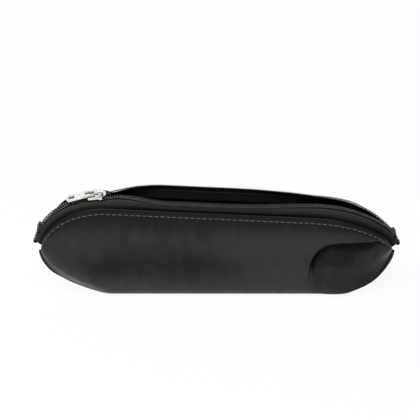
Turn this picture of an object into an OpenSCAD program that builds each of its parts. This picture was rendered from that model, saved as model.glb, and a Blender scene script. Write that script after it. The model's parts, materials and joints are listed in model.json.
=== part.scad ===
// Zipped leather pen case, standing on its base with the zip open.
// X runs along the case, -Y is the front, Z is up. The origin is the middle of the base.
// Every soft layer is a grid of stations along X and rows up the side, moved inwards
// from one outer surface, so that the layers follow each other when a size changes.

/* [Case] */
// Length of the level part of the case, between the rounded corners
level_length = 117; // [80:1:180]
// Length along X of each rounded corner
corner_run = 38; // [32:0.5:45]
// Height of the leather panels' top edge above the base
panel_height = 51; // [44:1:60]
// Downward slope of the mouth towards the end that is shut last
top_slope = 2.9; // [0:0.1:4]
// Half width of the flat base
base_half = 7; // [5:0.5:9]
// Half distance between the two leather edges at the mouth
mouth_half = 9; // [8.4:0.1:9.6]
// Half distance between the two leather edges at the tips
tip_half = 4.4; // [3.8:0.1:4.6]
// Height that the sides gain at the tips before they swell out
heel_rise = 14; // [10:0.5:18]
// How far each side swells past the base and the mouth
swell = 9.5; // [6:0.5:12]

/* [Layers] */
// Thickness of the leather panels
leather = 1.4; // [1:0.1:1.6]
// Thickness of the fabric lining
lining = 0.4; // [0.3:0.1:0.6]
// Thickness of the woven zip tape
tape = 0.55; // [0.4:0.05:0.7]
// Free space between layers that are sewn together
layer_gap = 0.05; // [0.03:0.01:0.1]
// Width of the tape that is sewn under the leather, as a share of the side
margin_share = 0.15; // [0.12:0.01:0.2]

/* [Piping] */
// Radius of the cord inside the piping
piping_cord_r = 0.8; // [0.6:0.05:0.9]
// Thickness of the leather strip wrapped round the cord
piping_skin = 0.55; // [0.4:0.05:0.6]
// Depth of the seam allowance inside the case
allowance = 5.2; // [4.5:0.1:6]

/* [Zip] */
// Angle that each half of the zip turns from shut to open
open_turn = 82; // [70:1:86]
// Height of the shut zip above the leather edge's fold line
crown = 2.5; // [2.2:0.1:2.8]
// Width of one coil across the zip
coil_width = 1.9; // [1.7:0.1:2]
// Height of the coil above the tape
coil_height = 1.2; // [1:0.1:1.3]
// Radius of the filler cord inside the coil
coil_cord_r = 0.26; // [0.2:0.02:0.3]
// Distance of the slider's middle past the start of the left corner
slider_past = 6.7; // [6:0.1:7.4]

/* [Slider] */
// Length of the slider's wings
slider_length = 10.2; // [9.6:0.1:10.8]
// Half width of the slider at its nose
nose_half = 4.2; // [4:0.1:4.6]
// Half width of the slider at its tail
tail_half = 3.5; // [3.3:0.1:3.7]
// Thickness of each wing
wing = 0.8; // [0.6:0.05:1]
// Height of the channel between the wings
channel = 2.6; // [2.5:0.05:2.7]
// Extra nose-up tilt that the parting coils give the slider
nose_lift = 2.4; // [2:0.1:2.8]

/* [Pull tab] */
// Length of the tab from its cross bar to its free end
tab_length = 15.2; // [12:0.1:15.4]
// Width of the tab
tab_width = 6.2; // [5.6:0.1:7]
// Thickness of the tab
tab_thick = 1.1; // [0.9:0.05:1.2]
// Downward slope of the tab where it lies, against the slider
tab_slope = 10; // [8:0.5:10.5]
// Running clearance round the tab's cross bar
bar_gap = 0.2; // [0.15:0.05:0.25]

/* [Stitching] */
// Distance from stitch to stitch
stitch_pitch = 3.27; // [2.8:0.01:4]
// Visible length of one stitch
stitch_length = 2.1; // [1.6:0.1:2.4]
// Diameter of the thread
thread = 0.5; // [0.4:0.05:0.6]
// Distance of the stitch row from the leather edge
stitch_inset = 2.6; // [2:0.1:3.2]

/* [Hidden] */

straight_half = level_length / 2;
half_height = panel_height / 2;
slider_x = -(straight_half + slider_past);
tip_angle = 85;          // where the panels are cut off at the tips
corner_steps = 9;        // stations along each corner of the panels
level_steps = 16;        // stations along the level part of the panels
piping_r = piping_cord_r + piping_skin + layer_gap;
crease = piping_r + layer_gap;             // half gap between the panels beside the piping
flange_half = piping_skin + layer_gap / 2; // half thickness of the piping's sewn flange
seam_face = flange_half + layer_gap;       // where each panel's allowance starts
skive_k = 0.35;          // the leather is skived nearer to the tips than this
cut_rows = [0, 0.07, 0.16, 0.27, 0.39, 0.51, 0.63, 0.74, 1 - margin_share, 1 - margin_share / 2, 1];

// ---- the outline: a station is [side, angle or share of the level part] ----
function station_x(c) =
    c[0] == 0 ? straight_half * c[1] : c[0] * (straight_half + corner_run * sin(c[1]));
function fullness(c) = c[0] == 0 ? 1 : cos(c[1]);
function unit(v) = v / norm(v);
// Outward direction of the upper outline, as [x, z]
function outward(c) =
    c[0] == 0 ? [0, 1] : unit([c[0] * half_height * sin(c[1]), corner_run * cos(c[1])]);
function low_point(c) = [station_x(c), half_height * (1 - fullness(c))];
function high_point(c) = [station_x(c),
    half_height * (1 + fullness(c)) - tan(top_slope) * station_x(c) * fullness(c)];
function stations(corner, level, last) = concat(
    [for (i = [0 : corner - 1]) [-1, last * (1 - i / corner)]],
    [for (i = [0 : level]) [0, 2 * i / level - 1]],
    [for (i = [1 : corner]) [1, last * i / corner]]);
// The station at a distance s along the upper outline from the middle
corner_table = [for (a = [0 : 3 : tip_angle + 3]) [corner_length(a), a]];
function corner_length(a) = a <= 0 ? 0 :
    corner_length(a - 1) + norm([corner_run * cos(a - 0.5), half_height * sin(a - 0.5)]) * PI / 180;
function station_at(s) = abs(s) <= straight_half ? [0, s / straight_half] :
    [sign(s), lookup(abs(s) - straight_half, corner_table)];
half_run = straight_half + corner_length(tip_angle);

// ---- the outer surface of one side; depth is the distance from the middle plane ----
function ease(t) = let (u = min(1, max(0, t))) u * u * (3 - 2 * u);
function skive(c) = min(1, fullness(c) / skive_k);
function edge_depth(c) = tip_half + (mouth_half - tip_half) * sqrt(fullness(c));
base_run = 0.9;          // share of each corner along which the flat base runs out
// Share of the corner's run that a station has reached
function corner_share(c) = sqrt(max(0, 1 - pow(fullness(c), 2)));
toe = 0.8;               // width of the underside that is left beside the piping at the tips
lower_pull = 0.62;       // share of the swell that the lower control point takes
upper_pull = 0.57;       // share of the side's height at which the upper one stands
heel_power = 1.5;        // how late along each corner the heel rises
swell_power = 0.7;       // how the swell fades towards the tips
function base_depth(c) = crease + toe +
    (base_half - crease - toe) * ease(1 - corner_share(c) / base_run);
function swollen(from, c) = from + swell * pow(fullness(c), swell_power);
function bezier(p, t) =
    p[0] * pow(1 - t, 3) + 3 * p[1] * t * pow(1 - t, 2) + 3 * p[2] * t * t * (1 - t) + p[3] * pow(t, 3);
function side_curve(c) = let (lo = low_point(c)[1], hi = high_point(c)[1]) [
    [base_depth(c), lo],
    [base_depth(c) + swollen(0, c) * lower_pull,
     lo + heel_rise * pow(corner_share(c), heel_power) * fullness(c)],
    [swollen(edge_depth(c), c), lo + (hi - lo) * upper_pull],
    [edge_depth(c), hi]];
function side_point(c, t) = let (p = bezier(side_curve(c), t)) [station_x(c), -p[0], p[1]];
// A point near the lower seam: depth from the middle plane, and distance inside the outline
function seam_point(c, depth, inside) = let (p = low_point(c), n = outward(c), d = inside * skive(c))
    [p[0] - n[0] * d, -depth, p[1] + n[1] * d];
function panel_column(c) = concat(
    [seam_point(c, seam_face, allowance), seam_point(c, seam_face, 2 * piping_r + 0.4),
     seam_point(c, crease, piping_r + 0.6), seam_point(c, crease, 0),
     seam_point(c, crease + (base_depth(c) - crease) * 0.25, 0)],
    [for (t = cut_rows) side_point(c, t)]);
seam_rows = 5;

function grid_normal(g, i, j) = let (
    a = g[min(i + 1, len(g) - 1)][j] - g[max(i - 1, 0)][j],
    b = g[i][min(j + 1, len(g[i]) - 1)] - g[i][max(j - 1, 0)]) unit(cross(a, b));
// The grid moved inwards; depths gives the distance for station i and row j
function sunk(g, depths) = [for (i = [0 : len(g) - 1])
    [for (j = [0 : len(g[i]) - 1]) g[i][j] - grid_normal(g, i, j) * depths[i][j]]];
function part_of(g, i0, i1, j0, j1) = [for (i = [i0 : i1]) [for (j = [j0 : j1]) g[i][j]]];

panel_stations = stations(corner_steps, level_steps, tip_angle);
outer_grid = [for (c = panel_stations) panel_column(c)];
last_i = len(outer_grid) - 1;
last_j = len(outer_grid[0]) - 1;
leather_at = [for (c = panel_stations) leather * (0.6 + 0.4 * skive(c))];
// The leather is thinned where it folds into the lower seam
function seam_skive(j) = j <= seam_rows ? 0.45 : j == seam_rows + 1 ? 0.7 : 1;

// A closed skin between two grids of the same size, the first one outside
module skin(outer, inner) {
    n = len(outer);
    m = len(outer[0]);
    function id(layer, i, j) = layer * n * m + i * m + j;
    polyhedron(
        points = concat([for (r = outer) for (p = r) p], [for (r = inner) for (p = r) p]),
        faces = concat(
            [for (i = [0 : n - 2]) for (j = [0 : m - 2]) for (f = [
                [id(0, i, j), id(0, i, j + 1), id(0, i + 1, j + 1)],
                [id(0, i, j), id(0, i + 1, j + 1), id(0, i + 1, j)],
                [id(1, i, j), id(1, i + 1, j + 1), id(1, i, j + 1)],
                [id(1, i, j), id(1, i + 1, j), id(1, i + 1, j + 1)]]) f],
            [for (i = [0 : n - 2]) for (f = [
                [id(0, i, 0), id(0, i + 1, 0), id(1, i + 1, 0)],
                [id(0, i, 0), id(1, i + 1, 0), id(1, i, 0)],
                [id(0, i, m - 1), id(1, i + 1, m - 1), id(0, i + 1, m - 1)],
                [id(0, i, m - 1), id(1, i, m - 1), id(1, i + 1, m - 1)]]) f],
            [for (j = [0 : m - 2]) for (f = [
                [id(0, 0, j), id(1, 0, j + 1), id(0, 0, j + 1)],
                [id(0, 0, j), id(1, 0, j), id(1, 0, j + 1)],
                [id(0, n - 1, j), id(0, n - 1, j + 1), id(1, n - 1, j + 1)],
                [id(0, n - 1, j), id(1, n - 1, j + 1), id(1, n - 1, j)]]) f]));
}

// A solid swept through rings of the same number of points
module sweep(rings) {
    n = len(rings);
    m = len(rings[0]);
    polyhedron(
        points = [for (r = rings) for (p = r) p],
        faces = concat(
            [[for (j = [0 : m - 1]) j]],
            [for (i = [0 : n - 2]) for (j = [0 : m - 1]) let (k = (j + 1) % m) for (f = [
                [i * m + j, (i + 1) * m + j, (i + 1) * m + k],
                [i * m + j, (i + 1) * m + k, i * m + k]]) f],
            [[for (j = [m - 1 : -1 : 0]) (n - 1) * m + j]]));
}

// The same with a hole: the inner rings have as many points as the outer ones
module hollow_sweep(outer, inner) {
    n = len(outer);
    m = len(outer[0]);
    function id(layer, i, j) = layer * n * m + i * m + (j % m);
    polyhedron(
        points = concat([for (r = outer) for (p = r) p], [for (r = inner) for (p = r) p]),
        faces = concat(
            [for (i = [0 : n - 2]) for (j = [0 : m - 1]) for (f = [
                [id(0, i, j), id(0, i + 1, j), id(0, i + 1, j + 1)],
                [id(0, i, j), id(0, i + 1, j + 1), id(0, i, j + 1)],
                [id(1, i, j), id(1, i + 1, j + 1), id(1, i + 1, j)],
                [id(1, i, j), id(1, i, j + 1), id(1, i + 1, j + 1)]]) f],
            [for (j = [0 : m - 1]) for (f = [
                [id(0, 0, j), id(0, 0, j + 1), id(1, 0, j + 1)],
                [id(0, 0, j), id(1, 0, j + 1), id(1, 0, j)],
                [id(0, n - 1, j), id(1, n - 1, j + 1), id(0, n - 1, j + 1)],
                [id(0, n - 1, j), id(1, n - 1, j), id(1, n - 1, j + 1)]]) f]));
}

// ---- leather, lining and the sewn margin of the tape ----
module panel() {
    color("#242424")
        skin(outer_grid, sunk(outer_grid,
            [for (t = leather_at) [for (j = [0 : last_j]) t * seam_skive(j)]]));
}

margin_row = last_j - 2;
margin_end = 2;          // stations left free of margin and lining at each tip
lining_row = seam_rows + 2;
module tape_margin() {
    top = [for (t = leather_at) [for (j = [0 : last_j]) t + layer_gap]];
    low = [for (t = leather_at) [for (j = [0 : last_j]) t + layer_gap + tape]];
    color("#1c1c1c")
        skin(part_of(sunk(outer_grid, top), margin_end, last_i - margin_end, margin_row, last_j),
             part_of(sunk(outer_grid, low), margin_end, last_i - margin_end, margin_row, last_j));
}

module side_lining() {
    function start(t, j) = t + layer_gap + (j >= margin_row ? tape + layer_gap : 0);
    top = [for (t = leather_at) [for (j = [0 : last_j]) start(t, j)]];
    low = [for (t = leather_at) [for (j = [0 : last_j]) start(t, j) + lining]];
    color("#161616")
        skin(part_of(sunk(outer_grid, top), margin_end, last_i - margin_end, lining_row, last_j - 1),
             part_of(sunk(outer_grid, low), margin_end, last_i - margin_end, lining_row, last_j - 1));
}

// ---- piping along the lower seam ----
piping_steps = 10;       // points on the half round of the piping
corner_proud = 0.3;      // how far the cord's middle stands outside the panels at the corners
function piping_out(c) =
    -(piping_r + layer_gap / 2) + (piping_r + corner_proud) * ease((1 - fullness(c)) / 0.5);
// A ring of the piping: points are [across the seam, outwards from the cord's middle]
function piping_ring(c, points) = let (p = low_point(c), n = outward(c), o = piping_out(c))
    [for (q = points) [p[0] + n[0] * (o + q[1]), q[0], p[1] - n[1] * (o + q[1])]];
function arc(r, from, to, steps) =
    [for (i = [0 : steps]) let (a = from + (to - from) * i / steps) [r * sin(a), -r * cos(a)]];
// The leather strip's outer and inner faces, from one end of its flange to the other
function strip_end(c) = min(-(allowance * skive(c) + piping_out(c) - 0.1), -piping_r);
function strip_face(c, half, r) = let (a = asin(half / r)) concat(
    [[half, strip_end(c)]], arc(r, a, 360 - a, 2 * piping_steps), [[-half, strip_end(c)]]);
module piping_cover() {
    slit = layer_gap / 2;
    color("#202020")
        skin([for (c = panel_stations) piping_ring(c, strip_face(c, flange_half, piping_r))],
             [for (c = panel_stations) piping_ring(c, strip_face(c, slit, piping_cord_r + layer_gap))]);
}
cord_sides = 10;
module piping_cord() {
    color("#8a8a84")
        sweep([for (c = panel_stations)
            piping_ring(c, arc(piping_cord_r, 0, 360 - 360 / cord_sides, cord_sides - 1))]);
}

// ---- the zip: each half turns about its fold line under the leather edge ----
fold_drop = 0.35;        // the fold line lies this far below the leather edge
fold_in = 1.9;           // and this far inside it
// The coils part quickly beside the slider and slowly further on; near the right end they
// come together slowly and then quickly. Each zone is part of one smooth step.
spread_start = slider_x + 2.5;
quick_spread = 18.5;     // length of the quick smooth step beside the slider
spread_knee = slider_x + 8.8;
spread_end = slider_x + 38;
converge_end = straight_half + corner_run;
quick_converge = 66.5;   // length of the quick smooth step at the right tip
converge_knee = converge_end - 23.5;
converge_start = converge_end - 90.5;
function step_share(x, from, to) = (x - from) / (to - from);
// Where a step that ends at far starts, if it meets the step from a to b at the border
function far_start(border, a, b, far) =
    let (t = step_share(border, a, b)) (border - t * far) / (1 - t);
zip_corner_steps = 9;
zip_level_steps = 40;
zip_last = 82;           // the coils stop inside the end tabs
function openness(x) = ease(
    x < spread_knee ? step_share(x, spread_start, spread_start + quick_spread) :
    x < 0 ? step_share(x,
        far_start(spread_knee, spread_start, spread_start + quick_spread, spread_end), spread_end) :
    x < converge_knee ? step_share(x,
        far_start(converge_knee, converge_end, converge_end - quick_converge, converge_start),
        converge_start) :
    step_share(x, converge_end, converge_end - quick_converge));
post_half = 0.6;         // half width of the slider's post between the coils
// Sideways room that the post makes between the coils
function post_room(x) = post_half * ease((x - slider_x + 2) / 5) * ease((slider_x + 13 - x) / 7);
function fold_depth(c) = edge_depth(c) - fold_in * (0.55 + 0.45 * skive(c));
tip_lift = 1.5;          // how much further out the zip stands at the tips than in the middle
function flatness(c) = tip_lift + (1 - tip_lift) * sqrt(fullness(c));
// The shut section of one half from its fold line: [inwards, upwards]
function zip_tip(c) = [fold_depth(c) - layer_gap, crown * flatness(c)];
knee_in = 0.45;          // share of its width at which the tape bends
knee_up = 0.88;          // share of its height at that bend
function zip_knee(c) = [knee_in * zip_tip(c)[0], knee_up * zip_tip(c)[1]];
function turned(p, a) = [p[0] * cos(a) - p[1] * sin(a), p[0] * sin(a) + p[1] * cos(a)];
// Places points of the shut section at a station, turned by its openness
function zip_ring(c, points) = let (
    e = high_point(c), n = outward(c), x = station_x(c), a = open_turn * openness(x))
    [for (q = points) let (p = turned(q, a)) [
        e[0] + n[0] * (p[1] - fold_drop),
        -(fold_depth(c) - p[0]) - post_room(x),
        e[1] + n[1] * (p[1] - fold_drop)]];
zip_stations = stations(zip_corner_steps, zip_level_steps, zip_last);

module zip_tape() {
    color("#1e1e1e")
        sweep([for (c = zip_stations) let (
            k = zip_knee(c), t = zip_tip(c), h = tape / 2,
            n1 = unit([-k[1], k[0]]) * h, n2 = unit([k[1] - t[1], t[0] - k[0]]) * h,
            bend = unit(n1 + n2) * h)
            zip_ring(c, [-n1, n1, k + bend, t + n2, t - n2, k - bend])]);
}

// Directions along and out of the coil's bed, and the middle of the coil on it
function coil_frame(c) = let (d = unit(zip_tip(c) - zip_knee(c))) [d, [-d[1], d[0]]];
function coil_middle(c) = let (f = coil_frame(c))
    zip_tip(c) - f[0] * coil_width / 2 + f[1] * (tape / 2 + bed_gap + coil_height / 2);
coil_sides = 8;
bed_gap = 0.12;          // gap between the coil and the tape that it is sewn on
function coil_points(c, half_w, half_h) = let (f = coil_frame(c), m = coil_middle(c))
    [for (i = [0 : coil_sides - 1]) let (a = 360 * (i + 0.5) / coil_sides, r = 1 / cos(180 / coil_sides))
        m + f[0] * half_w * r * cos(a) + f[1] * half_h * r * sin(a)];
module coil() {
    hole = coil_cord_r + layer_gap;
    color("#2b2b2b")
        hollow_sweep([for (c = zip_stations) zip_ring(c, coil_points(c, coil_width / 2, coil_height / 2))],
                     [for (c = zip_stations) zip_ring(c, coil_points(c, hole, hole))]);
}
module coil_cord() {
    color("#303030")
        sweep([for (c = zip_stations) zip_ring(c, coil_points(c, coil_cord_r, coil_cord_r))]);
}

// Puts its children at a station of the shut zip: X along the zip, Z outwards
module on_zip(c) {
    p = high_point(c);
    n = outward(c);
    lift = crown * flatness(c) - fold_drop;
    translate([p[0] + n[0] * lift, 0, p[1] + n[1] * lift])
        rotate([0, atan2(n[0], n[1]), 0]) children();
}
function tape_slope(c) = let (d = coil_frame(c)[0]) atan2(d[1], d[0]);

// ---- ends and stops ----
end_half = 1.8;          // half width of a folded end
end_start = 0.25;        // gap between the tapes' ends and the cloth
module zip_end(side) {
    low = -(tape / 2 + 0.35);
    high = coil_height + tape / 2 + bed_gap;
    fold = (high - low) / 2;
    color("#222222")
        on_zip([side, zip_last])
            mirror([side < 0 ? 1 : 0, 0, 0])
                translate([end_start, 0, low + fold]) rotate([90, 0, 0])
                    linear_extrude(height = 2 * end_half, center = true)
                        intersection() {
                            circle(r = fold, $fn = 48);
                            translate([0, -fold]) square([fold, 2 * fold]);
                        }
}

stop_length = 2.4;       // length of a stop along the zip
stop_wall = 0.45;        // thickness of its metal
stop_room = 0.4;         // room between its legs and the coil
stop_angle = 68;         // where the stops sit on the corners
// A staple over the coils, from one side to the other; its legs end on the tape
module staple(from, to, last_leg) {
    foot = 0.1;
    top = coil_height + tape / 2 + bed_gap + 0.1;
    color("#3c3c3c") {
        translate([-stop_length / 2, from - stop_wall, top])
            cube([stop_length, to - from + (last_leg ? 2 : 1) * stop_wall, stop_wall]);
        translate([-stop_length / 2, from - stop_wall, foot])
            cube([stop_length, stop_wall, top - foot + stop_wall]);
        if (last_leg) translate([-stop_length / 2, to, foot])
            cube([stop_length, stop_wall, top - foot + stop_wall]);
    }
}
module bottom_stop() on_zip([-1, stop_angle])
    staple(-coil_width - stop_room, coil_width + stop_room, true);
module top_stop() on_zip([1, stop_angle])
    staple(-coil_width - stop_room, -layer_gap, false);

// ---- stitching ----
module rod(from, to, r) {
    v = to - from;
    translate(from) rotate([0, acos(v[2] / norm(v)), atan2(v[1], v[0])])
        cylinder(h = norm(v), r = r, $fn = 24);
}
function stitch_share(c) =
    1 - stitch_inset / (3 * norm(side_curve(c)[3] - side_curve(c)[2]));
function surface_normal(c) = let (p = side_curve(c)[3] - side_curve(c)[2], n = outward(c))
    unit([n[0] * 0.3, -p[1], p[0] * -1]);
function stitch_point(s) = let (c = station_at(s))
    side_point(c, stitch_share(c)) + surface_normal(c) * (thread / 2 + layer_gap);
module stitching() {
    stitches = floor((2 * half_run - 5 * stitch_pitch) / stitch_pitch / 2);
    color("#4a4a4a")
        for (i = [-stitches : stitches])
            rod(stitch_point(i * stitch_pitch - stitch_length / 2),
                stitch_point(i * stitch_pitch + stitch_length / 2), thread / 2);
}

// ---- the slider, in its own frame: the origin is the chain's plane, +X the nose ----
channel_low = -0.6;      // top of the lower wing
channel_high = channel_low + channel;
bar_r = 0.55;            // radius of the tab's cross bar
pivot_x = -1.6;          // place of the cross bar
pivot_lift = 0.5;        // room between the bar and the upper wing
pivot_z = channel_high + wing + bar_r + bar_gap + pivot_lift;
bridge_half = 1.1;       // half width of the bridge
bridge_wall = 0.6;       // thickness of the bridge
bridge_front = 3.9;      // X of its front foot
bridge_rear = -4.4;      // X of its rear foot
flange = 0.5;            // thickness of the upper wing's turned-down edge
flange_drop = 0.75;      // how far it turns down
slider_station = station_at(slider_x);
chain_z = high_point(slider_station)[1] + crown - fold_drop;
slider_tilt = nose_lift - top_slope
    - atan2(outward(slider_station)[0], outward(slider_station)[1]);

module in_slider() translate([slider_x, 0, chain_z]) rotate([0, -slider_tilt, 0]) children();

// Plan of a wing, inset from the widest outline
module wing_plan(inset) {
    l = slider_length / 2 - inset;
    t = tail_half - inset;
    n = nose_half - inset;
    polygon([[-l, -t + 0.6], [-l + 0.6, -t], [-0.5, -t], [1.6, -n], [3, -n], [l, -n * 0.42],
             [l, n * 0.42], [3, n], [1.6, n], [-0.5, t], [-l + 0.6, t], [-l, t - 0.6]]);
}
module slider_body() {
    color("#c9c9c9") in_slider() {
        difference() {
            union() {
                translate([0, 0, channel_high])
                    linear_extrude(height = wing) wing_plan(0);
                translate([0, 0, channel_high - flange_drop])
                    linear_extrude(height = flange_drop + 0.1)
                        difference() {
                            wing_plan(0);
                            wing_plan(flange);
                            translate([-slider_length, -1.9]) square([slider_length, 3.8]);
                            translate([3.2, -nose_half]) square([slider_length, 2 * nose_half]);
                        }
                translate([0, 0, channel_low - wing])
                    linear_extrude(height = wing) wing_plan(1.1);
                translate([slider_length / 2 - 2.3, 0, channel_low - 0.1])
                    linear_extrude(height = channel + 0.2)
                        polygon([[-1.4, 0], [0, -post_half], [1.1, -post_half], [2.2, -0.45],
                                 [2.2, 0.45], [1.1, post_half], [0, post_half]]);
            }
            translate([pivot_x + 2.4, 0, channel_low])
                cylinder(h = channel + 2 * wing, r = 0.5, $fn = 32);
        }
    }
}
module slider_bridge() {
    top = pivot_z + bar_r + bar_gap;
    foot = channel_high + wing;
    color("#d4d4d4") in_slider()
        rotate([90, 0, 0]) linear_extrude(height = 2 * bridge_half, center = true)
            difference() {
                polygon([[bridge_rear, foot], [bridge_rear, foot + 0.9], [pivot_x - 1.5, top + bridge_wall],
                         [pivot_x + 1.6, top + bridge_wall], [bridge_front, foot + 1],
                         [bridge_front, foot]]);
                polygon([[pivot_x - 1.7, foot - 1], [pivot_x - 1.7, foot + 0.75], [pivot_x - 1, top],
                         [pivot_x + 1, top], [bridge_front - 1.3, foot + 0.75],
                         [bridge_front - 1.3, foot - 1]]);
            }
}
module lock_spring() {
    foot = channel_high + wing;
    color("#b0b0b0") in_slider() {
        translate([pivot_x - 1.5, -0.5, foot]) cube([3.3, 1, 0.2]);
        translate([pivot_x + 1.7, -0.5, foot]) cube([1, 1, 0.3]);
        translate([pivot_x + 2.4, 0, channel_high - 0.1]) cylinder(h = wing + 0.2, r = 0.4, $fn = 32);
    }
}
module tab_plan() {
    arm = 1.15;
    l = tab_length;
    w = tab_width / 2;
    difference() {
        polygon([[-l, -w + 1.1], [-l + 0.9, -w], [-3.4, -w + 0.1], [-2.2, -w + 0.5], [0, -w + 0.5],
                 [0, w - 0.5], [-2.2, w - 0.5], [-3.4, w - 0.1], [-l + 0.9, w], [-l, w - 1.1]]);
        translate([-4.6, -w + 0.5 + arm]) square([4.6 - bar_r, 2 * (w - 0.5 - arm)]);
        translate([-l + 1.2, -w + 1.3]) square([3.4, 2 * (w - 1.3)]);
    }
}
module pull_tab() {
    color("#dadada") in_slider() translate([pivot_x, 0, pivot_z])
        rotate([0, -tab_slope, 0]) {
            translate([0, 0, -tab_thick / 2])
                linear_extrude(height = tab_thick) tab_plan();
            rotate([90, 0, 0])
                cylinder(h = tab_width - 1, r = bar_r, center = true, $fn = 32);
        }
}

module back() mirror([0, 1, 0]) children();

panel();  // front_panel
back() panel();  // back_panel
side_lining();  // front_lining
back() side_lining();  // back_lining
tape_margin();  // front_tape_margin
back() tape_margin();  // back_tape_margin
piping_cover();
piping_cord();
stitching();  // front_stitching
back() stitching();  // back_stitching
zip_end(-1);  // left_zip_end
zip_end(1);  // right_zip_end
bottom_stop();
zip_tape();  // front_tape
back() zip_tape();  // back_tape
coil();  // front_coil
back() coil();  // back_coil
coil_cord();  // front_coil_cord
back() coil_cord();  // back_coil_cord
top_stop();  // front_top_stop
back() top_stop();  // back_top_stop
slider_body();
slider_bridge();
lock_spring();
pull_tab();
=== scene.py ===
"""Looks of the zipped leather pen case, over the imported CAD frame.

Units are metres in Blender; the geometry classes work in millimetres and convert once, in make_mesh().
X runs along the case, -Y is the front and Z is up. Every surface is a grid of stations along the
case by rows across it, computed with numpy.
"""

import json
import logging
import math
from dataclasses import dataclass
from enum import Enum
from typing import Sequence

import bpy
import numpy as np
from mathutils import Matrix, Vector

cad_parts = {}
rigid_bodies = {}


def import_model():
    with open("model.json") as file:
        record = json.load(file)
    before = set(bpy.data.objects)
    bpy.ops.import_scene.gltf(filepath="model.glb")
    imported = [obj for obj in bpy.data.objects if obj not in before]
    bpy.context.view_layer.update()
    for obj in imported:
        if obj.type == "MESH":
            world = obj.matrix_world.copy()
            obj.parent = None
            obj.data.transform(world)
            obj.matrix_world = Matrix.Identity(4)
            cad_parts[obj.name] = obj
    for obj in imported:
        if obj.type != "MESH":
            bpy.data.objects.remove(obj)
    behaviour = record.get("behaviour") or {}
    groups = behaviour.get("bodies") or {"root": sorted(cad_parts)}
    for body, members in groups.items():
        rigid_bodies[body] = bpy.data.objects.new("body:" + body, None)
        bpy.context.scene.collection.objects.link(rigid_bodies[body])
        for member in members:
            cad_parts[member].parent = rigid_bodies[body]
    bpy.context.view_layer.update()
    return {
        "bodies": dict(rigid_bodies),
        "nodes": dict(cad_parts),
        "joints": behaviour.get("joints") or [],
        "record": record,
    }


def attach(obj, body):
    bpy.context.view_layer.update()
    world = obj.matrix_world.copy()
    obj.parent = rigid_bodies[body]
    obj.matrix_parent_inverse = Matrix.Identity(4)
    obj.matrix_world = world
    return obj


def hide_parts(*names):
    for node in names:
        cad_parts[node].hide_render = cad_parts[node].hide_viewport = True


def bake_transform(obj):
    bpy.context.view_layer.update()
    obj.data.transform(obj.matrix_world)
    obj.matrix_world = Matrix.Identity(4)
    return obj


log = logging.getLogger("pen_case")
Array = np.ndarray
MM = 0.001
END_SHARE = 0.05
TOOTH_PITCH = 1.35
STITCH_POINTS = 9


class Side(Enum):
    """A half of the case; the value is the sign of its Y."""

    FRONT = -1
    BACK = 1

    @property
    def word(self) -> str:
        """Lower-case name used in node and body names."""
        return self.name.lower()


def srgb(code: str) -> tuple[float, float, float, float]:
    """Turn an sRGB hex colour into linear RGBA.

    Args:
        code: Six hex digits with a leading hash.

    Returns:
        Linear red, green, blue and an alpha of 1.
    """
    parts = [int(code[i : i + 2], 16) / 255 for i in (1, 3, 5)]
    return (*(p / 12.92 if p <= 0.04045 else ((p + 0.055) / 1.055) ** 2.4 for p in parts), 1.0)


def ease(t: Array) -> Array:
    """Smooth step from 0 to 1: u squared times (3 - 2u), with u held between 0 and 1."""
    u = np.clip(t, 0.0, 1.0)
    return u * u * (3 - 2 * u)


def bump(x: Array, centre: float, width: float | Array) -> Array:
    """Bell curve of height 1: e to the minus ((x - centre) / width) squared."""
    return np.exp(-(((x - centre) / width) ** 2))


def normalised(v: Array) -> Array:
    """Vectors divided by their lengths along the last axis."""
    return v / np.maximum(np.linalg.norm(v, axis=-1, keepdims=True), 1e-9)


@dataclass(frozen=True)
class Stretch:
    """A stretch of the case along X, in mm: where it starts and ends, and how soon it is full."""

    start: float
    rise: float
    end: float
    fall: float

    def share(self, x: Array) -> Array:
        """A smooth step up from the start, times a smooth step down to the end."""
        return ease((x - self.start) / self.rise) * ease((self.end - x) / self.fall)


@dataclass(frozen=True)
class Bell:
    """A bell-shaped place on a panel: its height, and its middle and width along X and Z, in mm."""

    height: float
    x: float
    width: float
    z: float
    tall: float

    def over(self, x: Array, z: Array) -> Array:
        """The height times one bell curve along X and one along Z."""
        return self.height * bump(x, self.x, self.width) * bump(z, self.z, self.tall)


# ---------------------------------------------------------------- geometry of the case


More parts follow.
